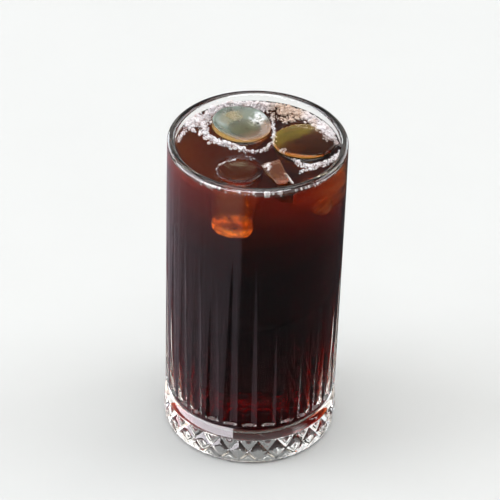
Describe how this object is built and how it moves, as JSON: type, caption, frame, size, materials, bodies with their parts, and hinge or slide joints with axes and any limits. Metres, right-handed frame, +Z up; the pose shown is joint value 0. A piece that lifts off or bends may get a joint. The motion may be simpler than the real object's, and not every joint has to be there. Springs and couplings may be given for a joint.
{
  "type": "iced filter coffee in a fluted glass",
  "caption": "Tall straight glass with a fluted wall and a diamond-cut base, filled nearly to the rim with black iced coffee, with clear ice and foam on top.",
  "frame": {"origin": "middle of the glass's foot, on the surface it stands on", "axes": "+Z up along the glass's axis, -Y towards the front of the picture, +X to the picture's right"},
  "size_m": [0.076, 0.076, 0.146],
  "materials": {
    "glass": "clear fire-polished glass, smooth lip, cut base",
    "coffee": "black coffee, clear dark red-brown where thin, with pale foam",
    "ice": "clear wet ice"
  },
  "bodies": {
    "root": {"glass": "glass", "coffee": "coffee", "ice_back_left": "ice", "ice_back_right": "ice", "ice_front_left": "ice", "ice_shard": "ice"}
  },
  "joints": []
}
